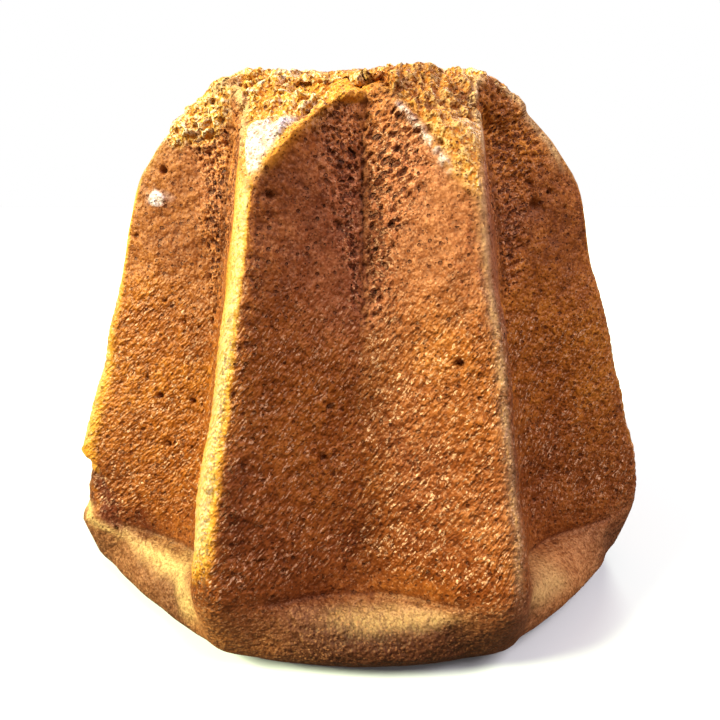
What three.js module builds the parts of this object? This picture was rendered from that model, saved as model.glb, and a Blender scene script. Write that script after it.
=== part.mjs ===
// Pandoro: a tall eight-pointed star cake that narrows to a small flat top and stands on a round baked foot.
// Millimetres, +Z up. The origin is the middle of the underside, and a valley between two ridges faces -Y.
import * as THREE from "three";

// Whole cake
const HEIGHT = 160;
const POINTS = 8;
const HALF_POINT = Math.PI / POINTS;

// Ridges: straight down from the shoulder, then tucked in above the foot
const SHOULDER_HEIGHT = 129;
const SHOULDER_RADIUS = 73;
const RIDGE_TAPER = 0.284;
const RIDGE_TUCK = 21.6;
const RIDGE_TUCK_HEIGHT = 46;
const RIDGE_TUCK_POWER = 2.06;
const RIDGE_ROUNDING = 0.04;
const RIDGE_FOOT_ROUNDING = 0.17;
const RIDGE_FLARE = { from: 38, to: 10 };

// Valleys between the ridges, and how far the flats sag in between at the foot and at the shoulder
const VALLEY_FOOT_RADIUS = 75.5;
const VALLEY_TOP_RADIUS = 48;
const VALLEY_ROUNDING = 0.025;
const FLAT_SAG = { foot: 2.6, shoulder: 0.5 };

// Sloping facet that cuts off each ridge above its shoulder
const FACET_TOP_RADIUS = VALLEY_TOP_RADIUS * Math.cos(HALF_POINT);
const FACET_BULGE = 2.6;
const FACET_BLEND = 3;
const TOP_EDGE_ROUNDING = 3;

// Round foot that the valleys stand on: its shelf climbs towards the ridges, and it rolls under to the floor
const FOOT_RADIUS = 88.7;
const FOOT_CORNERS = 0.018;
const FOOT_WIDEST = 9;
const FOOT_TOP = 18;
const FOOT_CLIMB = 8.8;
const FOOT_BLEND = 2.5;
const FOOT_ROLL = 12;

// The cake slumped a little to its left and right, most at the floor
const SIDE_SLUMP = 8.6;

// Lean of the ridge left of the front: its turn at the foot in degrees, and the heights of its two ends
const RIDGE_LEAN = { azimuth: -22.5, turn: -1.8, from: 110, to: 40 };
const UPWARDS = new THREE.Vector3(0, 0, 1);

// Slow unevenness of the baked sides: size of each wave and its length
const WAVES = [
  { size: 0.7, length: 61, turn: 0.4 },
  { size: 0.5, length: 37, turn: 2.1 },
  { size: 0.35, length: 23, turn: 4.4 },
];

// Places where the crust has torn off, as azimuth from the front in degrees, height, reach and depth
const TORN_PATCHES = [
  { azimuth: -24, height: 152, reach: 18, depth: 2.6 },
  { azimuth: -15, height: 159, reach: 17, depth: 4 },
  { azimuth: -3, height: 160, reach: 12, depth: 2.6 },
  { azimuth: 12, height: 160, reach: 9, depth: 1.4 },
  { azimuth: -56, height: 150, reach: 13, depth: 0.4 },
  { azimuth: -68, height: 157, reach: 12, depth: 0.3 },
  { azimuth: 19, height: 151, reach: 10, depth: 1.8 },
  { azimuth: 29, height: 148, reach: 8, depth: 1.6 },
  { azimuth: 68, height: 158, reach: 8, depth: 1.4 },
  { azimuth: 112, height: 155, reach: 11, depth: 1.8 },
  { azimuth: 158, height: 152, reach: 14, depth: 2.2 },
  { azimuth: -116, height: 154, reach: 12, depth: 2 },
];
const CRAG_LENGTH = 11;

// Tear low on the left ridge: a gouge, and the lifted flap of crust above it
const LOW_TEAR = { azimuth: -67.5, height: 33, reach: 13, depth: 3.5 };
const LOW_FLAP = { azimuth: -67.5, height: 43.2, reach: 4, depth: -0.4 };

// Curl of crumb that hangs over the top of the front valley
const CURL = { azimuth: -4, height: 152.5, reach: 5.5, depth: -2.6 };

// Dip in the top's rim beside the curl
const RIM_DIP = { azimuth: -11, height: 160, reach: 17, depth: 2.7 };

// Swellings of the two shoulders beside the front ones and of the foot in front and on the right
const SWELLINGS = [
  { azimuth: -56, height: 151, reach: 17, depth: -1.8 },
  { azimuth: 51, height: 154, reach: 12, depth: -2.6 },
  { azimuth: 46, height: 11, reach: 32, depth: -2 },
  { azimuth: 12, height: 8, reach: 36, depth: -1.6 },
];

// Mesh: columns round the cake, and rows up each stretch of its side
const COLUMNS = 128;
const ROWS = { underside: 1, roll: 5, shelf: 6, wall: 17, facet: 11, edge: 2, top: 3 };

const { clamp, degToRad, lerp, smoothstep } = THREE.MathUtils;

// The smaller of two sizes, with the corner between them rounded over a stretch of the given size.
function roundedMin(a, b, blend) {
  const near = Math.max(blend - Math.abs(a - b), 0) / blend;
  return Math.min(a, b) - (near * near * blend) / 4;
}

function roundedMax(a, b, blend) {
  return -roundedMin(-a, -b, blend);
}

// Angle from the nearest ridge's crest, eased there and in the valley so that neither is a knife edge.
function angleFromRidge(azimuth, rounding) {
  const turn = (azimuth + HALF_POINT) / (2 * HALF_POINT);
  const plain = Math.abs(turn - Math.round(turn)) * 2 * HALF_POINT;
  const offRidge = Math.hypot(plain, rounding) - rounding;
  const toValley = HALF_POINT - rounding - offRidge;
  return HALF_POINT - rounding - Math.hypot(toValley, VALLEY_ROUNDING);
}

// Rounding of the crest, which broadens where the ridge runs out into the foot.
function crestRounding(z) {
  const flare = smoothstep(RIDGE_FLARE.from - z, 0, RIDGE_FLARE.from - RIDGE_FLARE.to);
  return lerp(RIDGE_ROUNDING, RIDGE_FOOT_ROUNDING, flare);
}

function ridgeRadius(z) {
  const straight = SHOULDER_RADIUS + RIDGE_TAPER * (SHOULDER_HEIGHT - z);
  const below = Math.max(1 - z / RIDGE_TUCK_HEIGHT, 0);
  return straight - RIDGE_TUCK * below ** RIDGE_TUCK_POWER;
}

function valleyRadius(z) {
  return lerp(VALLEY_FOOT_RADIUS, VALLEY_TOP_RADIUS, (z - FOOT_TOP) / (HEIGHT - FOOT_TOP));
}

// Radius of the star: the sagging line from crest to valley, seen at this angle from the ridge.
function starRadius(angle, z) {
  const span = HALF_POINT - crestRounding(z) - VALLEY_ROUNDING;
  const ridge = ridgeRadius(z);
  const valley = valleyRadius(z);
  const slant = ridge * Math.sin(angle) + valley * Math.sin(span - angle);
  const rise = clamp((z - FOOT_TOP) / (SHOULDER_HEIGHT - FOOT_TOP), 0, 1);
  const sag = lerp(FLAT_SAG.foot, FLAT_SAG.shoulder, rise) * Math.sin((Math.PI * angle) / span);
  return (ridge * valley * Math.sin(span)) / slant - sag;
}

// Radius of the sloping, slightly domed facet above the shoulder.
function facetRadius(angle, z) {
  const rise = (z - SHOULDER_HEIGHT) / (HEIGHT - SHOULDER_HEIGHT);
  const dome = FACET_BULGE * Math.sin(Math.PI * clamp(rise, 0, 1));
  return (lerp(SHOULDER_RADIUS, FACET_TOP_RADIUS, rise) + dome) / Math.cos(angle);
}

// Height of the crease between the foot's shelf and the wall, lowest in the valleys.
function footTop(azimuth) {
  const turn = azimuth / (2 * HALF_POINT);
  const offValley = 2 * Math.abs(turn - Math.round(turn));
  return FOOT_TOP + FOOT_CLIMB * offValley ** 2;
}

// Radius of the foot where it is widest: round, and drawn out a little towards the ridges.
function ringRadius(azimuth) {
  return FOOT_RADIUS * (1 + (FOOT_CORNERS * (1 - Math.cos(POINTS * azimuth))) / 2);
}

// Radius of the foot, rolled over into the shelf that ends at the wall.
function footRadius(azimuth, z) {
  const top = footTop(azimuth);
  const wall = starRadius(angleFromRidge(azimuth, crestRounding(top)), top);
  const ring = ringRadius(azimuth);
  const over = clamp((z - FOOT_WIDEST) / (top - FOOT_WIDEST), 0, 1);
  return lerp(Math.min(wall, ring), ring, Math.sqrt(1 - over * over));
}

// Radius of the smooth cake at an azimuth and a height.
function plainRadius(azimuth, z) {
  const angle = angleFromRidge(azimuth, crestRounding(z));
  const star = roundedMin(starRadius(angle, z), facetRadius(angle, z), FACET_BLEND);
  const side = z < footTop(azimuth) ? roundedMax(star, footRadius(azimuth, z), FOOT_BLEND) : star;
  const slump = SIDE_SLUMP * Math.max(1 - z / SHOULDER_HEIGHT, 0) ** 3 * Math.sin(azimuth) ** 6;
  const under = Math.max(1 - z / FOOT_WIDEST, 0);
  return side + slump - FOOT_ROLL * (1 - Math.sqrt(1 - under * under));
}

// Point on the smooth side at an azimuth and a height.
function sidePoint(azimuth, z) {
  const radius = plainRadius(azimuth, z);
  return new THREE.Vector3(radius * Math.sin(azimuth), -radius * Math.cos(azimuth), z);
}

// Turn about the middle, in radians, of the leaning ridge at an azimuth and a height.
function leanTurn(azimuth, z) {
  const { turn, from, to } = RIDGE_LEAN;
  const near = smoothstep(Math.cos(azimuth - degToRad(RIDGE_LEAN.azimuth)), Math.cos(HALF_POINT), 1);
  return degToRad(turn) * near * smoothstep(from - z, 0, from - to);
}

function waviness(point) {
  let sum = 0;
  for (const { size, length, turn } of WAVES) {
    const k = (2 * Math.PI) / length;
    const level = Math.sin(k * point.x + turn) * Math.sin(k * point.y - turn);
    sum += size * level * Math.cos(k * point.z + 2 * turn);
  }
  return sum;
}

// Crags of torn crumb, from 0 on their tops to 1 in their hollows.
function crags(point) {
  const k = (2 * Math.PI) / CRAG_LENGTH;
  const f = 1.9 * k;
  const coarse = Math.sin(k * point.x + 1.3) * Math.sin(k * point.y + 0.4) + Math.sin(k * point.z);
  const fine = Math.sin(f * point.x) * Math.sin(f * point.y + 1) * Math.sin(f * point.z + 2);
  return clamp(0.5 + 0.3 * coarse + 0.25 * fine, 0, 1);
}

// Share of a patch at a point: 1 in its middle, 0 outside its reach.
function patchShare(patch, point) {
  const middle = sidePoint(degToRad(patch.azimuth), patch.height);
  return 1 - smoothstep(point.distanceTo(middle), 0.55 * patch.reach, patch.reach);
}

// Depth that the tears take off the surface at a point, less what its flap, curl and swellings add.
function tornDepth(point) {
  const patches = TORN_PATCHES.map((patch) => patch.depth * patchShare(patch, point));
  const top = Math.max(...patches) * (0.35 + 0.65 * crags(point));
  const single = [LOW_TEAR, LOW_FLAP, CURL, ...SWELLINGS];
  return single.reduce((sum, patch) => sum + patch.depth * patchShare(patch, point), top);
}

// Rows from the middle of the underside to that of the top: a height in the valleys and a share of the radius
function sideRows() {
  const rows = [{ z: 0, share: 0 }];
  const steps = (count, place) => {
    for (let i = 1; i <= count; i++) rows.push(place(i / count));
  };
  const quarter = Math.PI / 2;
  const facetEnd = HEIGHT - TOP_EDGE_ROUNDING;
  steps(ROWS.underside, (t) => ({ z: 0, share: t }));
  steps(ROWS.roll, (t) => ({ z: FOOT_WIDEST * (1 - Math.cos(quarter * t)), share: 1 }));
  steps(ROWS.shelf, (t) => ({ z: lerp(FOOT_WIDEST, FOOT_TOP, Math.sin(quarter * t)), share: 1 }));
  steps(ROWS.wall, (t) => ({ z: lerp(FOOT_TOP, SHOULDER_HEIGHT, t), share: 1 }));
  steps(ROWS.facet, (t) => ({ z: lerp(SHOULDER_HEIGHT, facetEnd, t), share: 1 }));
  steps(ROWS.edge, (t) => ({ z: lerp(facetEnd, HEIGHT, Math.sin(quarter * t)), share: 1 - 0.05 * t * t }));
  steps(ROWS.top, (t) => ({ z: HEIGHT, share: 0.95 * (1 - t) }));
  return rows;
}

// Height of a row at an azimuth: between the foot and the shoulder, the rows follow the crease over the foot.
function rowHeight(azimuth, z) {
  const top = footTop(azimuth);
  if (z <= FOOT_WIDEST || z >= SHOULDER_HEIGHT) return z;
  if (z < FOOT_TOP) return lerp(FOOT_WIDEST, top, (z - FOOT_WIDEST) / (FOOT_TOP - FOOT_WIDEST));
  return lerp(top, SHOULDER_HEIGHT, (z - FOOT_TOP) / (SHOULDER_HEIGHT - FOOT_TOP));
}

// The surface point of one row at one azimuth: the smooth side, then its unevenness, tears, dip and lean.
function surfacePoint(azimuth, row) {
  const point = sidePoint(azimuth, rowHeight(azimuth, row.z));
  point.x *= row.share;
  point.y *= row.share;
  const inward = smoothstep(row.z, 0, FOOT_WIDEST) * (waviness(point) + tornDepth(point));
  const dip = RIM_DIP.depth * patchShare(RIM_DIP, point);
  if (row.z > HEIGHT - TOP_EDGE_ROUNDING) {
    point.z -= Math.max(inward, 0);
  } else if (row.share === 1) {
    const radius = Math.hypot(point.x, point.y);
    point.x *= 1 - inward / radius;
    point.y *= 1 - inward / radius;
  }
  point.z -= dip;
  return point.applyAxisAngle(UPWARDS, leanTurn(azimuth, row.z));
}

function pandoroGeometry() {
  const rows = sideRows();
  const profile = rows.map((row) => new THREE.Vector2(row.share, row.z));
  const geometry = new THREE.LatheGeometry(profile, COLUMNS).rotateX(Math.PI / 2);
  const places = geometry.getAttribute("position");
  for (let i = 0; i < places.count; i++) {
    const column = Math.floor(i / rows.length) % COLUMNS;
    const point = surfacePoint((2 * Math.PI * column) / COLUMNS, rows[i % rows.length]);
    places.setXYZ(i, point.x, point.y, point.z);
  }
  geometry.computeBoundingBox();
  const { min, max } = geometry.boundingBox;
  return geometry.translate(-(min.x + max.x) / 2, -(min.y + max.y) / 2, -min.z);
}

const group = new THREE.Group();
const pandoro = new THREE.Mesh(pandoroGeometry());
pandoro.name = "pandoro";
group.add(pandoro);

export default group;
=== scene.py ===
"""Pandoro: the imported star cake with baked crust, pores and torn crumb, in soft light from the left."""
import math

import bpy
import numpy as np
from mathutils import Matrix, Vector


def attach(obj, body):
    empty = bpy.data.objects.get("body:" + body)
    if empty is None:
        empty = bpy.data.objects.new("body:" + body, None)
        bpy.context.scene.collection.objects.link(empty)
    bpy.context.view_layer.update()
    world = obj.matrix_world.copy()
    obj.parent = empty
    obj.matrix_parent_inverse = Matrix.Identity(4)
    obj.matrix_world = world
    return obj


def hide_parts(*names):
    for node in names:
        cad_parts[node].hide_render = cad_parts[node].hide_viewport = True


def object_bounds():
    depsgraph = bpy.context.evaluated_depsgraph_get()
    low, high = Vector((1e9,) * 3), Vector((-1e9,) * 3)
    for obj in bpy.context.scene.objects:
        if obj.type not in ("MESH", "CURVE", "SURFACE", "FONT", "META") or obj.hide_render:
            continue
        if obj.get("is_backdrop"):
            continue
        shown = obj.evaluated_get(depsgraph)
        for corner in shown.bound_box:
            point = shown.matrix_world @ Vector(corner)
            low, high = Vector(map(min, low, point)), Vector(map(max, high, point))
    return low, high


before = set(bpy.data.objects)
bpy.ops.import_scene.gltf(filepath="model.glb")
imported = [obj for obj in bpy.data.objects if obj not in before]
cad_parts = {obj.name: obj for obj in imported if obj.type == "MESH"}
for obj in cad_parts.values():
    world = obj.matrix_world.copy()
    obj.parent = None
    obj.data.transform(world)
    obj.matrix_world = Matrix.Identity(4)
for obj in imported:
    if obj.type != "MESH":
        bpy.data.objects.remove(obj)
cad_low, cad_high = (np.array(corner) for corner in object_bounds())

MM = 0.001

# Form of the cake, in millimetres, as in the part's source
HEIGHT = 160.0
POINTS = 8
HALF_POINT = math.pi / POINTS
SHOULDER_HEIGHT = 129.0
SHOULDER_RADIUS = 73.0
RIDGE_TAPER = 0.284
RIDGE_TUCK = 21.6
RIDGE_TUCK_HEIGHT = 46.0
RIDGE_TUCK_POWER = 2.06
RIDGE_ROUNDING = 0.04
RIDGE_FOOT_ROUNDING = 0.17
RIDGE_FLARE_FROM = 38.0
RIDGE_FLARE_TO = 10.0
VALLEY_FOOT_RADIUS = 75.5
VALLEY_TOP_RADIUS = 48.0
VALLEY_ROUNDING = 0.025
FOOT_SAG = 2.6
SHOULDER_SAG = 0.5
FACET_TOP_RADIUS = VALLEY_TOP_RADIUS * math.cos(HALF_POINT)
FACET_BULGE = 2.6
FACET_BLEND = 3.0
TOP_EDGE_ROUNDING = 3.0
FOOT_RADIUS = 88.7
FOOT_CORNERS = 0.018
FOOT_WIDEST = 9.0
FOOT_TOP = 18.0
FOOT_CLIMB = 8.8
FOOT_BLEND = 2.5
FOOT_ROLL = 12.0
SIDE_SLUMP = 8.6

# Lean of the ridge left of the front: its turn in degrees, and the heights where it starts and is full
LEANING_RIDGE = -22.5
LEAN_TURN = -1.8
LEAN_FROM = 110.0
LEAN_TO = 40.0

# Slow unevenness of the sides, as size, length and turn of each wave
WAVES = ((0.7, 61.0, 0.4), (0.5, 37.0, 2.1), (0.35, 23.0, 4.4))

# Places where the crust has torn off, as azimuth from the front in degrees, height, reach and depth
TORN_PATCHES = (
    (-24, 152, 18, 2.6),
    (-15, 159, 17, 4.0),
    (-3, 160, 12, 2.6),
    (12, 160, 9, 1.4),
    (-56, 150, 13, 0.4),
    (-68, 157, 12, 0.3),
    (19, 151, 10, 1.8),
    (29, 148, 8, 1.6),
    (68, 158, 8, 1.4),
    (112, 155, 11, 1.8),
    (158, 152, 14, 2.2),
    (-116, 154, 12, 2.0),
)
CRAG_LENGTH = 11.0

# Pale crests, partly pale crust and partly a painted highlight that reaches far down the lit left flanks:
# reach on a plain ridge and how pale it is, then ridges with a crest of their own, as azimuth, reach on
# the left flank, reach on the right flank and how pale. The one at 0 has the beige crest instead
CREST_REACH = 3.0
CREST_SHARE = 0.42
PALE_AND_LIT_CRESTS = (
    (-22.5, 26.0, 4.2, 1.0),
    (-67.5, 12.0, 8.0, 0.9),
    (22.5, 2.8, 3.4, 0.0),
    (112.5, 8.0, 3.6, 0.6),
    (-157.5, 4.0, 8.0, 0.65),
)

# Ridge with a beige crest
BEIGE_RIDGE = 22.5

# Painted highlight on stretches of the foot's shelf, as first and last azimuth, middle over the crease, width
# and how pale, and the middle and width of the one that turns down beside the leaning ridge
SHELF_HIGHLIGHTS = (
    (-76.0, -27.0, -1.7, 1.5, 0.9),
    (-9.0, 18.0, -1.9, 1.4, 0.3),
    (25.0, 46.0, -3.6, 3.2, 0.7),
    (150.0, 172.0, -2.4, 2.2, 0.5),
    (-130.0, -106.0, -2.2, 2.0, 0.6),
)
TURNED_MIDDLE = -8.0
TURNED_WIDTH = 3.6

# Painted light on stretches of the foot, and painted shade on ones in front, as azimuth, width and how much
FOOT_LIGHTS = ((-56.0, 22.0, 0.45), (-22.0, 11.0, 1.0), (44.0, 16.0, 1.0), (78.0, 16.0, 0.6))
FOOT_SHADES = ((-8.0, 10.0, 1.0), (5.0, 13.0, 0.75), (17.0, 4.5, 1.0))

# Spread of the bare facets to the flats beside them, as first and last azimuth and spread at each height
SPREAD_HEIGHTS = (128.0, 140.0, 150.0)
FACET_SPREADS = (
    (-45.0, -22.5, (1.2, 4.0, 5.0)),
    (-22.5, 0.0, (0.6, 2.8, 5.6)),
    (0.0, 22.5, (3.0, 3.9, 4.2)),
    (90.0, 112.5, (0.5, 2.0, 3.0)),
    (112.5, 135.0, (2.0, 2.6, 3.2)),
    (157.5, 180.0, (2.0, 3.0, 3.5)),
    (-112.5, -90.0, (1.5, 2.5, 3.5)),
)

# Ridges whose crest is worn blunt, as azimuth and depth
BLUNT_CRESTS = ((-22.5, 0.6), (22.5, 0.4), (-67.5, 0.3))

# Facet edges that curl up into an orange lip, as azimuth, height, reach and how far
LIPS = (
    (-17.5, 137.0, 9.0, 1.0),
    (-11.0, 145.0, 10.0, 1.0),
    (-7.5, 149.5, 8.0, 1.0),
    (100.0, 145.0, 10.0, 0.7),
)

# Painted shade on the walls, as azimuth, height, reach and strength
WALL_SHADES = (
    (-15.0, 118.0, 26.0, 0.45),
    (-19.4, 57.0, 7.0, 0.8),
    (-19.2, 49.0, 7.0, 0.9),
    (-18.6, 41.0, 6.0, 0.6),
    (56.0, 38.0, 26.0, 0.4),
    (9.0, 68.0, 30.0, 0.85),
    (5.0, 42.0, 22.0, 0.6),
    (18.0, 24.0, 24.0, 0.8),
    (5.0, 30.0, 20.0, 0.9),
    (50.0, 27.0, 18.0, 0.6),
    (-58.0, 114.0, 26.0, 0.4),
    (-2.0, 100.0, 18.0, 0.5),
)

# Crumb that is toasted darker, as azimuth, height and reach
TOASTED = (
    (21.0, 146.0, 26.0),
    (8.0, 156.0, 9.0),
    (56.0, 156.0, 9.0),
    (160.0, 154.0, 12.0),
)

# Facet edges that are pale and thin, as azimuth, height and reach
PALE_EDGES = ((-36.0, 146.0, 20.0), (34.0, 144.0, 18.0), (56.0, 144.0, 18.0))

# Tear low on the left ridge: a gouge, and the lifted flap of crust above it
LOW_TEAR = (-67.5, 33, 13, 3.5)
LOW_FLAP = (-67.5, 43.2, 4.0, -0.4)

# Dark skin in the gouge and orange skin on the flap, as azimuth, height, reach and strength
TEAR_SKINS = (
    (-65.5, 36.0, 7.0, 1.0),
    (-63.8, 30.5, 8.0, 1.0),
    (-61.5, 25.0, 8.0, 1.0),
    (-57.0, 22.5, 7.0, 0.8),
)
FLAP_SKIN = (-66.5, 43.5, 5.5, 1.0)

# Places tinted a lighter gold and places tinted rosier, as azimuth, height, reach and strength
LIGHT_PATCHES = (
    (-63.0, 78.0, 42.0, 0.85),
    (-48.0, 58.0, 34.0, 1.0),
    (18.0, 78.0, 28.0, 0.8),
    (-9.0, 56.0, 28.0, 0.6),
    (57.0, 78.0, 46.0, 0.95),
    (53.0, 144.0, 24.0, 0.9),
    (-44.0, 138.0, 16.0, 0.9),
    (130.0, 70.0, 40.0, 0.5),
    (-150.0, 60.0, 40.0, 0.5),
)
ROSY_PATCHES = (
    (12.0, 112.0, 46.0, 1.0),
    (17.0, 62.0, 40.0, 0.8),
    (-40.0, 140.0, 30.0, 0.7),
    (-14.0, 45.0, 40.0, 0.5),
    (150.0, 105.0, 40.0, 0.8),
    (-100.0, 105.0, 40.0, 0.7),
)

# Curl of crumb that hangs over the top of the front valley, and the skin on it, as the torn places are given
CURL = (-4, 152.5, 5.5, -2.6)
CURL_SKIN = (-4.0, 153.0, 6.2)

# Dip in the top's rim beside the curl
RIM_DIP = (-11, 160, 17, 2.7)

# Swellings of the two shoulders beside the front ones and of the foot in front and on the right
SWELLINGS = (
    (-56.0, 151.0, 17.0, -1.8),
    (51.0, 154.0, 12.0, -2.6),
    (46.0, 11.0, 32.0, -2.0),
    (12.0, 8.0, 36.0, -1.6),
)

# Crumb that shows without a tear, as azimuth, height and reach
BARE_PATCHES = (
    (-60.0, 143.0, 6.0),
    (-55.0, 154.0, 7.0),
    (52.0, 156.0, 5.0),
    (128.0, 150.0, 7.0),
)

# Whitish bloom on the facets and flakes on the walls, as azimuth, height, reach and how far they stand out
PALE_PATCHES = (
    (-21.2, 138.0, 11.0, 0.0),
    (-62.4, 124.0, 2.6, 0.4),
    (115.0, 136.0, 7.0, 0.0),
    (160.0, 138.0, 6.0, 0.0),
    (-112.0, 137.0, 7.0, 0.0),
    (-155.0, 134.0, 5.0, 0.0),
)

# Facet edges whose crust has flaked to whitish crumbs, as azimuth, height and reach
FLAKY_EDGES = ((14.5, 139.0, 13.0), (-103.0, 140.0, 10.0), (148.0, 141.0, 10.0))

# Single holes in the walls, as azimuth, height, reach and depth
SINGLE_HOLES = (
    (-56.4, 64.6, 1.5, 1.6),
    (-49.4, 63.8, 1.2, 1.2),
    (-53.5, 49.6, 1.3, 1.4),
    (-6.8, 70.1, 1.4, 1.6),
    (-7.8, 56.6, 1.2, 1.2),
    (17.3, 83.8, 1.4, 1.6),
    (-18.8, 124.3, 1.6, 1.4),
    (-61.7, 132.0, 1.6, 1.4),
    (57.1, 122.0, 2.8, 1.5),
    (60.4, 125.8, 1.3, 1.2),
    (13.2, 143.4, 1.5, 1.2),
    (15.0, 140.3, 1.5, 1.2),
    (16.8, 137.2, 1.4, 1.2),
)

# Edges of each kind of patch: how far the ragged noise moves them, and the share of the reach that is whole
PATCH_EDGES = {
    "torn": (1.2, 0.6),
    "bare": (1.4, 0.6),
    "curl": (0.5, 0.4),
    "curl skin": (0.3, 0.75),
    "flaky": (0.0, 0.8),
    "lip": (0.4, 0.7),
    "toasted": (1.0, 0.7),
    "painted_shade": (1.5, 0.2),
    "tear": (0.8, 0.55),
    "flap": (0.5, 0.55),
    "flap skin": (0.4, 0.8),
    "tear skin": (0.8, 0.6),
    "hole": (0.25, 0.25),
    "pale": (0.9, 0.7),
    "form": (0.0, 0.55),
    "pale edge": (0.0, 0.8),
    "light": (4.0, 0.3),
    "rosy": (4.0, 0.4),
}

# Fine grid of the crust before it is thinned: columns round and rows up each stretch, the triangles that
# stay, and the top's edge: its share of the radius, and how far under the top its relief has turned downwards
COLUMNS = 1280
ROWS = {"underside": 12, "roll": 16, "shelf": 24, "wall": 220, "facet": 76, "edge": 10, "top": 60}
TRIANGLES = 196000
TOP_EDGE_SHARE = 0.05
TOP_EDGE_END = 0.1


def lerp(a, b, t):
    return a + (b - a) * t


def smoothstep(x, low, high):
    t = np.clip((x - low) / (high - low), 0.0, 1.0)
    return t * t * (3.0 - 2.0 * t)


def window(x, opens, opened, closes, closed):
    """Rises from 0 to 1 between the first two values and falls back between the last two."""
    return smoothstep(x, opens, opened) * (1.0 - smoothstep(x, closes, closed))


def bell(x, middle, width):
    """A soft band: 1 in its middle, and falling off over its width."""
    return np.exp(-(((x - middle) / width) ** 2))


def rounded_min(a, b, blend):
    """The smaller of two sizes, with the corner between them rounded."""
    near = np.maximum(blend - np.abs(a - b), 0.0) / blend
    return np.minimum(a, b) - near * near * blend / 4.0


def rounded_max(a, b, blend):
    return -rounded_min(-a, -b, blend)


def crest_rounding(z):
    flare = smoothstep(RIDGE_FLARE_FROM - z, 0.0, RIDGE_FLARE_FROM - RIDGE_FLARE_TO)
    return lerp(RIDGE_ROUNDING, RIDGE_FOOT_ROUNDING, flare)


def angle_from_ridge(azimuth, rounding):
    """Angle from the nearest ridge's crest, eased at the crest and in the valley."""
    turn = (azimuth + HALF_POINT) / (2.0 * HALF_POINT)
    plain = np.abs(turn - np.round(turn)) * 2.0 * HALF_POINT
    off_ridge = np.hypot(plain, rounding) - rounding
    to_valley = HALF_POINT - rounding - off_ridge
    return HALF_POINT - rounding - np.hypot(to_valley, VALLEY_ROUNDING)


def ridge_radius(z):
    straight = SHOULDER_RADIUS + RIDGE_TAPER * (SHOULDER_HEIGHT - z)
    below = np.maximum(1.0 - z / RIDGE_TUCK_HEIGHT, 0.0)
    return straight - RIDGE_TUCK * below**RIDGE_TUCK_POWER


def valley_radius(z):
    return lerp(VALLEY_FOOT_RADIUS, VALLEY_TOP_RADIUS, (z - FOOT_TOP) / (HEIGHT - FOOT_TOP))


def star_radius(angle, z):
    """Radius of the sagging flat from crest to valley."""
    span = HALF_POINT - crest_rounding(z) - VALLEY_ROUNDING
    ridge = ridge_radius(z)
    valley = valley_radius(z)
    slant = ridge * np.sin(angle) + valley * np.sin(span - angle)
    rise = np.clip((z - FOOT_TOP) / (SHOULDER_HEIGHT - FOOT_TOP), 0.0, 1.0)
    sag = lerp(FOOT_SAG, SHOULDER_SAG, rise) * np.sin(math.pi * angle / span)
    return ridge * valley * np.sin(span) / slant - sag


def facet_radius(angle, z):
    """Radius of the sloping, slightly domed facet above the shoulder."""
    rise = (z - SHOULDER_HEIGHT) / (HEIGHT - SHOULDER_HEIGHT)
    dome = FACET_BULGE * np.sin(math.pi * np.clip(rise, 0.0, 1.0))
    return (lerp(SHOULDER_RADIUS, FACET_TOP_RADIUS, rise) + dome) / np.cos(angle)


def foot_top(azimuth):
    """Height of the crease between the foot's shelf and the wall, lowest in the valleys."""
    turn = azimuth / (2.0 * HALF_POINT)
    off_valley = 2.0 * np.abs(turn - np.round(turn))
    return FOOT_TOP + FOOT_CLIMB * off_valley**2


def ring_radius(azimuth):
    """Radius of the foot where it is widest: round, and drawn out a little towards the ridges."""
    return FOOT_RADIUS * (1.0 + FOOT_CORNERS * (1.0 - np.cos(POINTS * azimuth)) / 2.0)


def foot_radius(azimuth, z):
    """Radius of the foot, rolled over into the shelf that ends at the wall."""
    top = foot_top(azimuth)
    wall = star_radius(angle_from_ridge(azimuth, crest_rounding(top)), top)
    ring = ring_radius(azimuth)
    over = np.clip((z - FOOT_WIDEST) / (top - FOOT_WIDEST), 0.0, 1.0)
    return lerp(np.minimum(wall, ring), ring, np.sqrt(1.0 - over * over))


def plain_radius(azimuth, z):
    """Radius of the smooth cake at an azimuth and a height."""
    angle = angle_from_ridge(azimuth, crest_rounding(z))
    star = rounded_min(star_radius(angle, z), facet_radius(angle, z), FACET_BLEND)
    footed = rounded_max(star, foot_radius(azimuth, z), FOOT_BLEND)
    side = np.where(z < foot_top(azimuth), footed, star)
    slump = SIDE_SLUMP * np.maximum(1.0 - z / SHOULDER_HEIGHT, 0.0) ** 3 * np.sin(azimuth) ** 6
    under = np.maximum(1.0 - z / FOOT_WIDEST, 0.0)
    return side + slump - FOOT_ROLL * (1.0 - np.sqrt(1.0 - under * under))


def side_point(azimuth, z):
    radius = plain_radius(azimuth, z)
    return np.stack((radius * np.sin(azimuth), -radius * np.cos(azimuth), z + 0.0 * radius), -1)


def lean_turn(azimuth, z):
    """Turn about the middle, in radians, of the leaning ridge at an azimuth and a height."""
    near = smoothstep(np.cos(azimuth - math.radians(LEANING_RIDGE)), math.cos(HALF_POINT), 1.0)
    return math.radians(LEAN_TURN) * near * smoothstep(LEAN_FROM - z, 0.0, LEAN_FROM - LEAN_TO)


def waviness(p):
    total = 0.0
    for size, length, turn in WAVES:
        k = 2.0 * math.pi / length
        level = np.sin(k * p[..., 0] + turn) * np.sin(k * p[..., 1] - turn)
        total = total + size * level * np.cos(k * p[..., 2] + 2.0 * turn)
    return total


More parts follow.
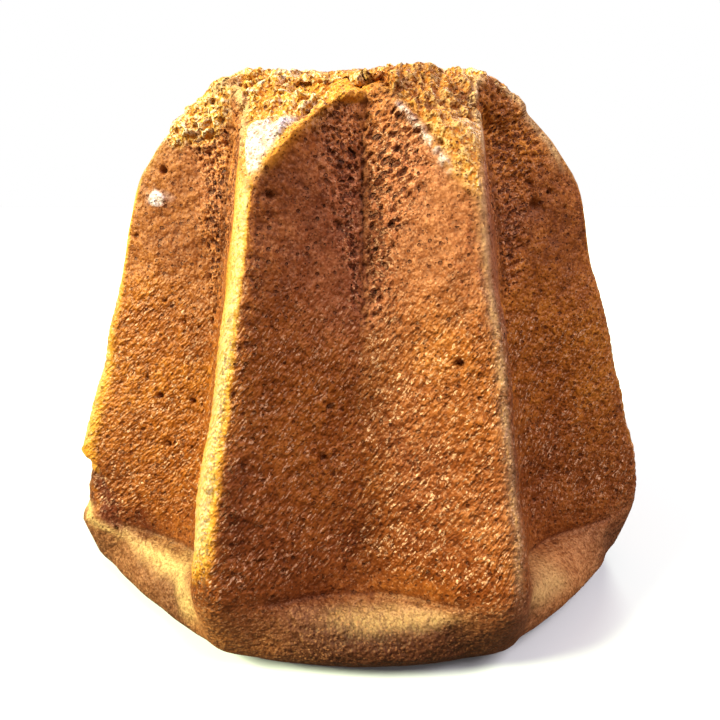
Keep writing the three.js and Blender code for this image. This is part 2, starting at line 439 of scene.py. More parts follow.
def crags(p):
    """Crags of torn crumb, from 0 on their tops to 1 in their hollows."""
    k = 2.0 * math.pi / CRAG_LENGTH
    f = 1.9 * k
    x, y, z = p[..., 0], p[..., 1], p[..., 2]
    coarse = np.sin(k * x + 1.3) * np.sin(k * y + 0.4) + np.sin(k * z)
    fine = np.sin(f * x) * np.sin(f * y + 1.0) * np.sin(f * z + 2.0)
    return np.clip(0.5 + 0.3 * coarse + 0.25 * fine, 0.0, 1.0)


def patch_share(patch, p, wobble, inner):
    """Share of a patch at each point: 1 in its middle, 0 outside its reach."""
    azimuth, height, reach = patch[:3]
    middle = side_point(np.float64(math.radians(azimuth)), np.float64(height))
    distance = np.linalg.norm(p - middle, axis=-1) + wobble
    return 1.0 - smoothstep(distance, inner * reach, reach)


# Random lattices, the same on every run

def lattice(i, j, seed):
    """A number from 0 to 1 for each cell of a square lattice."""
    h = i.astype(np.int64) * 374761393 + j.astype(np.int64) * 668265263 + seed * 1442695041
    h = (h ^ (h >> 13)) & 0xFFFFFFFF
    h = (h * 1274126177) & 0xFFFFFFFF
    h = (h ^ (h >> 16)) & 0xFFFFFFFF
    h = (h * 2246822519) & 0xFFFFFFFF
    h = h ^ (h >> 15)
    return h / 4294967296.0


def smooth_noise(u, v, seed):
    """Smooth noise from -1 to 1 with features one unit apart."""
    i, j = np.floor(u), np.floor(v)
    s, t = u - i, v - j
    s = s * s * s * (s * (6.0 * s - 15.0) + 10.0)
    t = t * t * t * (t * (6.0 * t - 15.0) + 10.0)
    low = lerp(lattice(i, j, seed), lattice(i + 1, j, seed), s)
    high = lerp(lattice(i, j + 1, seed), lattice(i + 1, j + 1, seed), s)
    return 2.0 * lerp(low, high, t) - 1.0


def layered_noise(u, v, seed, layers=3):
    total, size = 0.0, 1.0
    for layer in range(layers):
        total = total + size * smooth_noise(u * 2**layer, v * 2**layer, seed + layer)
        size *= 0.5
    return total / (2.0 - 2.0 * size)


def pits(u, v, chance, seed, small, large):
    """Bowls on a lattice one unit wide, each there or not by chance: 1 at a bowl's bottom, 0 outside it."""
    i0, j0 = np.floor(u), np.floor(v)
    deepest = np.zeros_like(u)
    for di in (-1, 0, 1):
        for dj in (-1, 0, 1):
            i, j = i0 + di, j0 + dj
            x = i + 0.15 + 0.7 * lattice(i, j, seed)
            y = j + 0.15 + 0.7 * lattice(i, j, seed + 1)
            draw = lattice(i, j, seed + 2)
            radius = lerp(small, large, lattice(i, j, seed + 3) ** 2)
            share = np.clip(1.0 - ((u - x) ** 2 + (v - y) ** 2) / radius**2, 0.0, 1.0)
            bowl = share * (2.0 - share) * lerp(0.55, 1.0, lattice(i, j, seed + 4))
            deepest = np.maximum(deepest, np.where(draw < chance, bowl, 0.0))
    return deepest


def cells(u, v, seed):
    """Distance from the nearest and the second nearest of the points scattered one to each unit square."""
    i0, j0 = np.floor(u), np.floor(v)
    first = np.full_like(u, 9.0)
    second = np.full_like(u, 9.0)
    for di in (-1, 0, 1):
        for dj in (-1, 0, 1):
            i, j = i0 + di, j0 + dj
            d = np.hypot(u - i - lattice(i, j, seed), v - j - lattice(i, j, seed + 1))
            second = np.minimum(second, np.maximum(first, d))
            first = np.minimum(first, d)
    return first, second


def space_lattice(i, j, k, seed):
    return lattice(i + 57 * k, j - 131 * k, seed)


def space_noise(p, seed, layers=3):
    """Layered smooth noise in space, from -1 to 1, with features one unit apart."""
    total, size = 0.0, 1.0
    for layer in range(layers):
        q = p * 2**layer
        cell = np.floor(q)
        t = q - cell
        t = t * t * (3.0 - 2.0 * t)
        level = 0.0
        for corner in range(8):
            step = np.array((corner & 1, corner >> 1 & 1, corner >> 2))
            weight = np.where(step, t, 1.0 - t).prod(-1)
            level = level + weight * space_lattice(*np.moveaxis(cell + step, -1, 0), seed + layer)
        total = total + size * (2.0 * level - 1.0)
        size *= 0.5
    return total / (2.0 - 2.0 * size)


def space_cells(p, seed):
    """Distance in space from the nearest of the points scattered one to each unit cube."""
    cell = np.floor(p)
    nearest = np.full(p.shape[:-1], 9.0)
    for step in np.ndindex(3, 3, 3):
        corner = cell + np.array(step) - 1
        place = np.moveaxis(corner, -1, 0)
        spot = np.stack([space_lattice(*place, seed + axis) for axis in range(3)], -1) + corner
        nearest = np.minimum(nearest, np.linalg.norm(p - spot, axis=-1))
    return nearest


def side_rows():
    """Rows from the middle of the underside to the middle of the top: heights and shares of the radius."""
    facet_end = HEIGHT - TOP_EDGE_ROUNDING

    def steps(name):
        return np.arange(1, ROWS[name] + 1) / ROWS[name]

    quarter = math.pi / 2.0
    heights = [np.zeros(1), 0.0 * steps("underside")]
    shares = [np.zeros(1), steps("underside")]
    heights.append(FOOT_WIDEST * (1.0 - np.cos(quarter * steps("roll"))))
    heights.append(lerp(FOOT_WIDEST, FOOT_TOP, np.sin(quarter * steps("shelf"))))
    heights.append(lerp(FOOT_TOP, SHOULDER_HEIGHT, steps("wall")))
    heights.append(lerp(SHOULDER_HEIGHT, facet_end, steps("facet")))
    shares += [np.ones(ROWS[name]) for name in ("roll", "shelf", "wall", "facet")]
    heights.append(lerp(facet_end, HEIGHT, np.sin(quarter * steps("edge"))))
    shares.append(1.0 - TOP_EDGE_SHARE * steps("edge") ** 2)
    heights.append(HEIGHT + 0.0 * steps("top"))
    shares.append((1.0 - TOP_EDGE_SHARE) * (1.0 - steps("top")))
    return np.concatenate(heights), np.concatenate(shares)


def row_height(azimuth, z):
    """Height of a row at an azimuth: up to the shoulder, the rows follow the crease over the foot."""
    top = foot_top(azimuth)
    shelf = lerp(FOOT_WIDEST, top, (z - FOOT_WIDEST) / (FOOT_TOP - FOOT_WIDEST))
    wall = lerp(top, SHOULDER_HEIGHT, (z - FOOT_TOP) / (SHOULDER_HEIGHT - FOOT_TOP))
    moved = np.where(z < FOOT_TOP, shelf, wall)
    return np.where((z <= FOOT_WIDEST) | (z >= SHOULDER_HEIGHT), z, moved)


def surface_normals(p):
    """Outward unit normals of a grid of points, rows by columns."""
    along = np.roll(p, -1, 1) - np.roll(p, 1, 1)
    up = np.gradient(p, axis=0)
    n = np.cross(along, up)
    return n / np.maximum(np.linalg.norm(n, axis=-1, keepdims=True), 1e-9)


# The crust as a grid of places, unrolled by its girth at the radius ARC and its climb from the middle below
ARC = 100.0

# Ragged noise, as size, length, seed and layers
RAGGED_NOISES = ((1.6, 7.0, 11, 3), (0.8, 2.0, 15, 2))

# Ragged edges, as wobble and the values between which each goes from 0 to 1
EDGES = {
    "plain facet": (0.0, -0.8, 0.8),
    "golden": (0.7, -0.4, 1.0),
    "top rim": (0.1, 0.62, 0.86),
    "flake": (0.0, -0.3, 0.1),
    "bloom": (0.4, 0.2, 1.2),
    "no bloom": (0.0, 0.45, 1.0),
    "fan begins": (0.0, 80.0, 100.0),
    "fan thins": (0.0, 138.0, 150.0),
    "edge pits begin": (0.0, 70.0, 90.0),
    "beside valley line": (0.15, 0.1, 0.6),
    "valley line begins": (4.0, 88.0, 108.0),
    "valley line ends": (0.0, 132.0, 144.0),
    "foot line": (2.0, 8.0, 18.0),
    "leather ends": (6.0, 85.0, 115.0),
    "crest shrinks": (0.0, 50.0, 120.0),
    "crest begins": (2.0, -2.0, 20.0),
    "beige begins": (0.0, -4.0, 12.0),
    "crease": (0.0, -0.5, 0.5),
    "crease stain": (2.0, 7.0, 18.0),
    "far from ridge": (0.0, 8.0, 20.0),
    "over low foot": (0.6, -4.4, -0.3),
    "fold": (0.0, -0.45, 0.1),
    "off ridge": (0.0, 1.0, 2.2),
    "off valley": (0.0, 0.6, 1.8),
}

# Stretches, as where each opens, is open, closes and is closed
STRETCHES = {
    "walls": (20.0, 30.0, 126.0, 140.0),
    "edge pits": (1.5, 2.5, 4.0, 7.0),
    "late crumb": (40.0, 50.0, 84.0, 92.0),
    "turned shelf": (-40.0, -30.0, -26.0, -20.0),
    "ridge_shade": (85.0, 110.0, 120.0, 130.0),
    "fine fan": (25.0, 35.0, 70.0, 90.0),
}

# Bands, as wobble, middle and width
BANDS = {
    "facet rim": (0.3, 0.2, 1.1),
    "flaky": (0.0, -0.6, 1.0),
    "lip": (0.3, 0.4, 1.7),
    "pale edge": (0.0, -0.8, 1.6),
    "foot line": (0.0, 0.5, 0.7),
    "blunt": (0.0, 0.0, 3.2),
    "beige": (0.0, 0.0, 1.5),
    "ridge_shade": (0.5, 3.6, 2.2),
}

heights, shares = side_rows()
azimuths = 2.0 * math.pi * np.arange(COLUMNS) / COLUMNS
azimuths = np.where(azimuths > math.pi, azimuths - 2.0 * math.pi, azimuths)
height, azimuth = np.meshgrid(heights, azimuths, indexing="ij")
height = row_height(azimuth, height)
radius_share = np.repeat(shares[:, None], COLUMNS, 1)

points = side_point(azimuth, height)
points[..., :2] *= radius_share[..., None]
middle_column = COLUMNS // (4 * POINTS)
lengths = np.linalg.norm(np.diff(points[:, middle_column], axis=0), axis=-1)
climb = np.repeat(np.concatenate(([0.0], np.cumsum(lengths)))[:, None], COLUMNS, 1)
girth = ARC * azimuth
degrees = np.degrees(azimuth)

on_top = height > HEIGHT - TOP_EDGE_ROUNDING
above_floor = smoothstep(height, 0.0, FOOT_WIDEST)
over_crease = height - foot_top(azimuth)
angle = angle_from_ridge(azimuth, crest_rounding(height))
valley_turn = np.round(azimuth / (2.0 * HALF_POINT))
from_valley = ARC * np.abs(azimuth - valley_turn * 2.0 * HALF_POINT)
from_ridge = ARC * HALF_POINT - from_valley
right_of_valley = azimuth > valley_turn * 2.0 * HALF_POINT
left_of_ridge = right_of_valley
ridge_azimuth = degrees + np.where(left_of_ridge, 1.0, -1.0) * np.degrees(from_ridge / ARC)
walls = window(height, *STRETCHES["walls"])
ragged = np.zeros_like(height)
for size, length, seed, layers in RAGGED_NOISES:
    ragged = ragged + size * space_noise(points / length, seed, layers)


def past(edge, value):
    """How far a value is past a ragged edge."""
    wobble, low, high = EDGES[edge]
    return smoothstep(value + wobble * ragged, low, high)


def band(kind, value):
    """How far a value is inside a band, ragged at its edges."""
    wobble, middle, width = BANDS[kind]
    return bell(value + wobble * ragged, middle, width)


def flanks_of(ridge):
    """Whether each point is on the flanks of the ridge at an azimuth in degrees."""
    return np.abs(ridge_azimuth - ridge) < 1.0


# Where the crust is baked less: the facets, the flats that they spread to and the rim of the top, and how far
# below the shoulder that, its rim and its pale edges end
GOLDEN_BELOW = 12.0
RIM_BELOW = 6.0
PALE_EDGE_BELOW = 4.0

facet_lead = star_radius(angle, height) - facet_radius(angle, height)
on_plain_facet = past("plain facet", facet_lead)
for first, last, spreads in FACET_SPREADS:
    here = (degrees > first) & (degrees <= last)
    facet_lead = facet_lead + here * np.interp(height, SPREAD_HEIGHTS, spreads)
golden = past("golden", facet_lead) * (height > SHOULDER_HEIGHT - GOLDEN_BELOW)
peeled = golden * (1.0 - on_plain_facet)
golden = np.where(on_top, past("top rim", radius_share), golden)
facet_rim = band("facet rim", facet_lead) * (height > SHOULDER_HEIGHT - RIM_BELOW) * ~on_top


def patch_shares(kind, patches):
    """Share of each patch of a kind at the crust's points as they are now."""
    wobble, inner = PATCH_EDGES[kind]
    return [patch_share(patch, points, wobble * ragged, inner) for patch in patches]


def cover(kind, *patches):
    """Largest share of a kind's patches."""
    return np.maximum.reduce(patch_shares(kind, patches))


def strength(kind, *patches):
    """Largest share of a kind's patches, each times the last number of its patch."""
    return np.maximum.reduce([p[3] * share for p, share in zip(patches, patch_shares(kind, patches))])


# Torn places, flakes, lips, painted shade on the walls and single holes
LEAST_CRAG = 0.35
FLAKE_LENGTH = 1.5

torn = cover("torn", *TORN_PATCHES)
torn_depth = strength("torn", *TORN_PATCHES) * lerp(LEAST_CRAG, 1.0, crags(points))
bare = np.maximum(torn, cover("bare", *BARE_PATCHES))
curl = cover("curl", CURL)
curl_skin = cover("curl skin", CURL_SKIN)
flakes = past("flake", space_noise(points / FLAKE_LENGTH, 97, 2))
flaky = cover("flaky", *FLAKY_EDGES) * band("flaky", facet_lead) * flakes
lip = strength("lip", *LIPS) * band("lip", facet_lead) * ~on_top
toasted = cover("toasted", *TOASTED)
painted_shade = strength("painted_shade", *WALL_SHADES)
tear = cover("tear", LOW_TEAR)
flap = cover("flap", LOW_FLAP)
flap_skin = cover("flap skin", FLAP_SKIN)
tear_skin = strength("tear skin", *TEAR_SKINS) * (1.0 - flap_skin)
single = strength("hole", *SINGLE_HOLES)

# Pale bloom, on the facets only unless it stands out
FLAKY_PALENESS = 0.8

pale_lift = strength("pale", *PALE_PATCHES)
lifted = pale_lift > 0.0
on_facet = past("bloom", facet_lead)
pale = cover("pale", *PALE_PATCHES) * np.maximum(on_plain_facet, lifted)
pale *= 1.0 - past("no bloom", bare)
pale *= np.where(height > SHOULDER_HEIGHT, np.maximum(on_facet, lifted), 1.0)
pale = np.maximum(pale, FLAKY_PALENESS * flaky)

# Fan of pores beside each valley: its width, start, height and growth, how much wider it is on its right, its
# edge, and how much it thins out at the top
FAN_WIDTH = 25.0
FAN_FROM = 78.0
FAN_HEIGHT = 65.0
FAN_POWER = 1.3
FAN_RIGHT = 1.45
FAN_RIGHT_START = 2.0
FAN_WOBBLE = 3.0
FAN_WHOLE = 0.45
FAN_END = 1.1
FAN_LEAST_END = 1.0
FAN_THINNED = 0.35

# Pores in the fan: slits on its right and rounder holes on its left, as lean in degrees and length, the width
# of both, and what sets the pores of each flank and valley apart
SLIT = (46.0, 3.0)
ROUND_HOLE = (12.0, 1.8)
PORE_WIDTH = 1.5
FLANK_STEP = 400.0
VALLEY_STEP = 53.0
PORE_CHANCE = 1.1
PORE_SIZES = (0.26, 0.6)
WARP_LENGTH = 4.0
WARP_ALONG = 1.2
WARP_ACROSS = 0.8

# Scattered pits, as spacing, warp, chance, seed, smallest and largest radius in spacings, and depth
SCATTERED_PITS = {
    "edge": (1.8, 0.3, 0.45, 45, 0.15, 0.4, 0.8),
    "hole": (9.0, 0.0, 0.16, 51, 0.06, 0.12, 1.0),
    "speck": (3.1, 0.25, 0.22, 61, 0.08, 0.22, 0.7),
}
DEEPEST_SINGLE = 1.4

beside_valley = from_valley / ARC * np.hypot(points[..., 0], points[..., 1])
reach = FAN_WIDTH * (np.clip(height - FAN_FROM, 0.0, None) / FAN_HEIGHT) ** FAN_POWER
reach = np.where(right_of_valley, FAN_RIGHT * reach + FAN_RIGHT_START, reach)
fan_end = FAN_END * reach + FAN_LEAST_END
porous = 1.0 - smoothstep(from_valley + FAN_WOBBLE * ragged, FAN_WHOLE * reach, fan_end)
porous *= past("fan begins", height) * (1.0 - FAN_THINNED * past("fan thins", height))
porous *= (1.0 - golden) * (1.0 - bare) * (1.0 - curl_skin)
lean = np.where(right_of_valley, math.radians(SLIT[0]), math.radians(ROUND_HOLE[0]))
warp = layered_noise(girth / WARP_LENGTH, climb / WARP_LENGTH, 21, 2)
along = beside_valley * np.sin(lean) + climb * np.cos(lean) + WARP_ALONG * warp
across = beside_valley * np.cos(lean) - climb * np.sin(lean) + WARP_ACROSS * warp
flow_across = across / PORE_WIDTH + FLANK_STEP * right_of_valley + VALLEY_STEP * valley_turn
flow_along = along / np.where(right_of_valley, SLIT[1], ROUND_HOLE[1])
edge_band = window(from_ridge, *STRETCHES["edge pits"]) * walls * past("edge pits begin", height)


def scattered(kind, where):
    """Pits of a kind scattered where a mask lets them."""
    spacing, warped, chance, seed, small, large, depth = SCATTERED_PITS[kind]
    bowls = pits(girth / spacing + warped * warp, climb / spacing, chance * where, seed, small, large)
    return depth * bowls


pore = np.maximum.reduce((
    pits(flow_across, flow_along, PORE_CHANCE * porous, 31, *PORE_SIZES),
    scattered("edge", edge_band),
    scattered("hole", walls),
    scattered("speck", walls),
    single / DEEPEST_SINGLE,
))
pore *= 1.0 - curl_skin

# Dark lines in the upper valleys and in the crease over the foot: grooves in the relief and painted shade
valley_line = (1.0 - past("beside valley line", beside_valley)) * past("valley line begins", height)
valley_line *= 1.0 - past("valley line ends", height)
foot_line = band("foot line", over_crease) * past("foot line", from_ridge)

# Open crumb on the facets, the torn places and the top's rim: the height from which it shows, later on the
# right, its bubbles as spacing, seed, inner and outer radius and depth, and its lumps
CRUMB_FROM = 139.0
CRUMB_SOFTNESS = 7.0
CRUMB_WOBBLE = 3.0
LATE_CRUMB = 13.0
LEAST_CRUMB = 0.01
BUBBLES = ((2.5, 71, 0.28, 0.72, 0.8), (6.0, 75, 0.12, 0.5, 0.9))
BUBBLE_WANDER = 0.8
LUMP_LENGTH = 6.0
LUMP_HEIGHT = 1.7
TALLEST_LUMP = 0.8

crumb_from = CRUMB_FROM + LATE_CRUMB * window(degrees, *STRETCHES["late crumb"])
crumb_high = smoothstep(height + CRUMB_WOBBLE * ragged, crumb_from, crumb_from + CRUMB_SOFTNESS)
open_crumb = np.maximum(golden * crumb_high, bare)
crumbed = open_crumb.max(1) > LEAST_CRUMB
wandering = points[crumbed] + BUBBLE_WANDER * ragged[crumbed][..., None]
bubbles = np.zeros_like(open_crumb[crumbed])
for spacing, seed, inside, outside, depth in BUBBLES:
    bubble = 1.0 - smoothstep(space_cells(wandering / spacing, seed), inside, outside)
    bubbles = np.maximum(bubbles, depth * bubble)
crumb_hollow = np.zeros_like(height)
crumb_hollow[crumbed] = open_crumb[crumbed] * bubbles
crumb_hollow *= 1.0 - curl_skin
crumb_lumps = np.zeros_like(height)
crumb_lumps[crumbed] = open_crumb[crumbed] * space_noise(points[crumbed] / LUMP_LENGTH, 79, 2)

# Leathery swells of the lower walls: their width, length, slant, warp and edge, and the length of slow swells
SWELL_WIDTH = 5.2
SWELL_LENGTH = 3.6
SWELL_SLANTS = (0.8, -0.25)
SWELL_WARP = 3.0
SWELL_EDGE = 0.7
BROAD_LENGTH = 16.0

swell_across = (girth + SWELL_SLANTS[0] * climb + SWELL_WARP * warp) / SWELL_WIDTH
nearest, second = cells(swell_across, (climb + SWELL_SLANTS[1] * girth) / SWELL_LENGTH, 81)
swells = smoothstep(second - nearest, 0.0, SWELL_EDGE)
leathery = walls * (1.0 - porous) * (1.0 - golden)
leathery *= 1.0 - past("leather ends", height)
broad = layered_noise(girth / BROAD_LENGTH, climb / BROAD_LENGTH, 91)

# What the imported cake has: its unevenness, torn places and swellings, turned downwards over the top's edge
single_depth = LOW_TEAR[3] * tear + LOW_FLAP[3] * flap + CURL[3] * curl
for swelling, share in zip(SWELLINGS, patch_shares("form", SWELLINGS)):
    single_depth = single_depth + swelling[3] * share
inward = above_floor * (waviness(points) + torn_depth + single_depth)
dip = RIM_DIP[3] * cover("form", RIM_DIP)
over_edge = smoothstep(height, HEIGHT - TOP_EDGE_ROUNDING, HEIGHT - TOP_EDGE_END)
radius = np.maximum(np.hypot(points[..., 0], points[..., 1]), 1e-9)
points[..., :2] *= (1.0 - (1.0 - over_edge) * inward / radius)[..., None]
points[..., 2] -= over_edge * np.maximum(inward, 0.0) + dip
turn_cos = np.cos(lean_turn(azimuth, height))
turn_sin = np.sin(lean_turn(azimuth, height))
turned_x = points[..., 0] * turn_cos - points[..., 1] * turn_sin
turned_y = points[..., 0] * turn_sin + points[..., 1] * turn_cos
points[..., 0] = turned_x
points[..., 1] = turned_y

# Fine relief of the scene alone, as what it follows and how far that stands out
FOLD_SLANT = 0.5
FOLD_WIDTH = 3.0
FOLD_LENGTH = 11.0

blunt = np.zeros_like(height)
for ridge, depth in BLUNT_CRESTS:
    blunt = np.where(flanks_of(ridge), depth * band("blunt", from_ridge) * walls, blunt)
folds = tear_skin * smooth_noise((girth + FOLD_SLANT * climb) / FOLD_WIDTH, climb / FOLD_LENGTH, 103)
RELIEF = (
    (pore, -0.9),
    (crumb_hollow, -1.9),
    (np.minimum(LUMP_HEIGHT * crumb_lumps, TALLEST_LUMP), 1.0),
    (facet_rim * (1.0 - torn), 0.35),
    (valley_line, -0.25),
    (foot_line, -0.5),
    (flaky, 0.4),
    (lip, 1.0),
    (peeled, -0.7),
    (folds, 0.9),
    (blunt, -1.0),
    (leathery * (swells - 0.5), 0.25),
    (single, -0.6),
    (pale_lift, 1.0),
    (above_floor * broad, 0.3),
    (above_floor * open_crumb * ragged, 0.3),
)
relief = sum(stands_out * follows for follows, stands_out in RELIEF)
points = points + surface_normals(points) * (relief * above_floor)[..., None]

# Pale golden crests, partly a painted highlight, whose reach shrinks with height on the left and right flanks
# of the ridges on the left
SHRUNK_LEFT = 0.75
SHRUNK_RIGHT = 0.42
CREST_WOBBLE = 0.3

crest_reach = np.full_like(height, CREST_REACH)
crest_share = np.full_like(height, CREST_SHARE)
for ridge, left_reach, right_reach, share in PALE_AND_LIT_CRESTS:
    here = flanks_of(ridge)
    crest_reach = np.where(here, np.where(left_of_ridge, left_reach, right_reach), crest_reach)
    crest_share = np.where(here, share, crest_share)
upwards = past("crest shrinks", height) * (ridge_azimuth < 0.0)
crest_reach = crest_reach * lerp(1.0, np.where(left_of_ridge, SHRUNK_LEFT, SHRUNK_RIGHT), upwards)
crest = crest_share * np.clip(1.0 - (from_ridge + CREST_WOBBLE * ragged) / crest_reach, 0.0, 1.0)
crest *= past("crest begins", over_crease) * (1.0 - golden)

# Painted highlight along the foot's shelf
SHELF_WOBBLE = 0.6
SHELF_ENDS = (8.0, 6.0)
turned_down = window(degrees, *STRETCHES["turned shelf"])


def shelf_band(first, last, band_middle, band_width, share):
    """A band along the foot's shelf between two azimuths."""
    from_middle = over_crease - lerp(band_middle, TURNED_MIDDLE, turned_down) + SHELF_WOBBLE * ragged
    shelf = bell(from_middle, 0.0, lerp(band_width, TURNED_WIDTH, turned_down))
    return share * shelf * window(degrees, first, first + SHELF_ENDS[0], last - SHELF_ENDS[1], last)


shelf_highlight = np.maximum.reduce([shelf_band(*shelf) for shelf in SHELF_HIGHLIGHTS])

# Pale edges of the facets, the beige crest, and a streak of painted shade on the right flank of the
# leaning ridge
BEIGE_EVENNESS = 0.75
BEIGE_WOBBLE = 0.4
BEIGE_STRENGTH = 0.75
RIDGE_SHADE_STRENGTH = 0.75

beside_ridge = from_ridge / ARC * np.hypot(points[..., 0], points[..., 1])
beige = band("beige", beside_ridge) * flanks_of(BEIGE_RIDGE) * past("beige begins", over_crease)
beige *= (1.0 - golden) * np.clip(BEIGE_EVENNESS + BEIGE_WOBBLE * ragged, 0.0, 1.0)
facet_edge = band("pale edge", facet_lead) * (height > SHOULDER_HEIGHT - PALE_EDGE_BELOW) * ~on_top
pale_edge = np.maximum(facet_edge * cover("pale edge", *PALE_EDGES), BEIGE_STRENGTH * beige)
ridge_shade = band("ridge_shade", beside_ridge) * window(height, *STRETCHES["ridge_shade"])
ridge_shade *= ~left_of_ridge * flanks_of(LEANING_RIDGE)

# Painted shade over the crease, and the foot: where it meets the wall, its lower part darkened as painted
# shade, and its stretches of painted light
CREASE_SHADE_HEIGHT = 4.5
CREASE_SHADE_STRENGTH = 0.85
FOOT_ENDS = (-0.6, 0.5)
FOOT_ENDS_BY_RIDGE = (-10.0, 7.0)
FOOT_WOBBLE = 0.3
FOOT_LOW_LIT = 1.6


def round_stretches(places):
    """Soft stretches round the cake, each a middle, a width and a share."""
    return np.maximum.reduce([share * bell(degrees, middle, width) for middle, width, share in places])


# painted shade just above the crease, fading upwards and away from the ridges
crease_shade = np.exp(-np.maximum(over_crease, 0.0) / CREASE_SHADE_HEIGHT)
crease_shade *= past("crease", over_crease) * past("crease stain", from_ridge)
painted_shade = np.maximum.reduce((painted_shade, RIDGE_SHADE_STRENGTH * ridge_shade, CREASE_SHADE_STRENGTH * crease_shade))
by_ridge = 1.0 - past("far from ridge", from_ridge)
foot_ends = [lerp(end, end_by_ridge, by_ridge) for end, end_by_ridge in zip(FOOT_ENDS, FOOT_ENDS_BY_RIDGE)]
foot = 1.0 - smoothstep(over_crease + FOOT_WOBBLE * ragged, *foot_ends)
painted_foot_light = round_stretches(FOOT_LIGHTS)
shaded_low_foot = 1.0 - past("over low foot", over_crease)
shaded_low_foot *= 1.0 - np.minimum(FOOT_LOW_LIT * painted_foot_light, 1.0)

# Masks and places that the material reads
BARE_RIM = 0.7
FINE_FAN = 0.35
VALLEY_PITCH = 137.0

unrolled = np.where(right_of_valley, beside_valley, -beside_valley) + VALLEY_PITCH * (valley_turn % POINTS)
off_ridge = past("off ridge", beside_ridge)
MASKS = {
    "golden": np.maximum(golden, bare),
    "facet_rim": facet_rim * (1.0 - BARE_RIM * bare),
    "open_crumb": open_crumb,
    "pale": pale,
    "pore": np.clip(pore, 0.0, 1.0),
    "crumb_hollow": crumb_hollow,
    "crest": crest,
    "shelf_highlight": shelf_highlight,
    "pale_edge": pale_edge,
    "painted_shade": painted_shade,
    "light": strength("light", *LIGHT_PATCHES),
    "rosy": strength("rosy", *ROSY_PATCHES),
    "foot": foot,
    "shaded_low_foot": shaded_low_foot,
    "painted_foot_light": painted_foot_light,
    "painted_foot_shade": round_stretches(FOOT_SHADES),
    "tear": tear_skin * past("fold", -folds),
    "flap": np.maximum.reduce((flap_skin, curl_skin, lip)),
    "toasted": toasted,
    "line": np.maximum(valley_line, foot_line),
    "leathery": leathery,
    "porous": porous * past("off valley", beside_valley) * off_ridge,
    "coarse": 1.0 - FINE_FAN * window(degrees, *STRETCHES["fine fan"]),
    "off_ridge": off_ridge,
}
PLACES = {
    "unrolled": np.stack((unrolled, climb, np.zeros_like(girth)), -1),
    "flow": np.stack((flow_across, flow_along, np.zeros_like(girth)), -1),
}


def grid_mesh(name, p, masks, places):
    """A closed mesh from a grid of points whose first and last rows are single points."""
    rows, columns = p.shape[:2]

    def listed(values):
        return np.concatenate((values[:1, 0], values[1:-1].reshape(-1, *values.shape[2:]), values[-1:, 0]))

    vertices = listed(p)
    ids = 1 + np.arange((rows - 2) * columns).reshape(rows - 2, columns)
    beside = np.roll(ids, -1, 1)
    quads = np.stack((ids[:-1], beside[:-1], beside[1:], ids[1:]), -1).reshape(-1, 4)
    low_fan = np.stack((np.zeros(columns, int), beside[0], ids[0]), -1)
    high_fan = np.stack((np.full(columns, len(vertices) - 1), ids[-1], beside[-1]), -1)
    loops = np.concatenate((quads.ravel(), low_fan.ravel(), high_fan.ravel()))
    sizes = np.concatenate((np.full(len(quads), 4), np.full(2 * columns, 3)))
    mesh = bpy.data.meshes.new(name)
    mesh.vertices.add(len(vertices))
    mesh.vertices.foreach_set("co", (vertices * MM).ravel())
    mesh.loops.add(len(loops))
    mesh.loops.foreach_set("vertex_index", loops)
    mesh.polygons.add(len(sizes))
    mesh.polygons.foreach_set("loop_start", np.concatenate(([0], np.cumsum(sizes)[:-1])))
    for label, values in masks.items():
        layer = mesh.attributes.new(label, "FLOAT", "POINT")
        layer.data.foreach_set("value", listed(values).astype(np.float32))
    for label, values in places.items():
        layer = mesh.attributes.new(label, "FLOAT_VECTOR", "POINT")
        layer.data.foreach_set("vector", listed(values).astype(np.float32).ravel())
    mesh.update()
    mesh.validate()
    return mesh


def thinned(obj, triangles):
    """Thins a piece's mesh to a number of triangles, which stay where the relief is."""
    modifier = obj.modifiers.new("thin", "DECIMATE")
    corners = len(obj.data.loops) - 2 * len(obj.data.polygons)
    modifier.ratio = min(1.0, triangles / corners)
    modifier.use_collapse_triangulate = True
    evaluated = obj.evaluated_get(bpy.context.evaluated_depsgraph_get())
    mesh = bpy.data.meshes.new_from_object(evaluated)
    obj.modifiers.clear()
    obj.data = mesh
    mesh.shade_smooth()


def vertex_places(mesh):
    places = np.empty(3 * len(mesh.vertices))
    mesh.vertices.foreach_get("co", places)
    return places.reshape(-1, 3)


def set_on_frame(mesh):
    """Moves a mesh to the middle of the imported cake's box, down on its underside."""
    places = vertex_places(mesh)
    low, high = places.min(0), places.max(0)
    shift = (cad_low + cad_high - low - high) / 2.0
    shift[2] = cad_low[2] - low[2]
    mesh.transform(Matrix.Translation(Vector(shift)))


pandoro = bpy.data.objects.new("pandoro_crust", grid_mesh("pandoro_crust", points, MASKS, PLACES))
bpy.context.scene.collection.objects.link(pandoro)
thinned(pandoro, TRIANGLES)
set_on_frame(pandoro.data)


# Shader nodes

NOISE_ROUGHNESS = 0.55
SPOT_EDGE = 0.08


def link_or_set(tree, socket, value):
    if isinstance(value, bpy.types.NodeSocket):
        tree.links.new(value, socket)
    else:
        socket.default_value = value


def add(tree, kind, inputs=None, **settings):
    """A node with its settings, and its inputs as values or as sockets to link."""
    node = tree.nodes.new(kind)
    for name, value in settings.items():
        setattr(node, name, value)
    for name, value in (inputs or {}).items():
        link_or_set(tree, node.inputs[name], value)
    return node


def times(tree, a, b):
    return add(tree, "ShaderNodeMath", {0: a, 1: b}, operation="MULTIPLY").outputs[0]


def times_plus(tree, a, b, c):
    return add(tree, "ShaderNodeMath", {0: a, 1: b, 2: c}, operation="MULTIPLY_ADD").outputs[0]


def weighted(tree, start, *terms):
    """A sum that starts at a number and adds each term's socket times its weight."""
    total = start
    for socket, weight in terms:
        total = times_plus(tree, socket, weight, total)
    return total


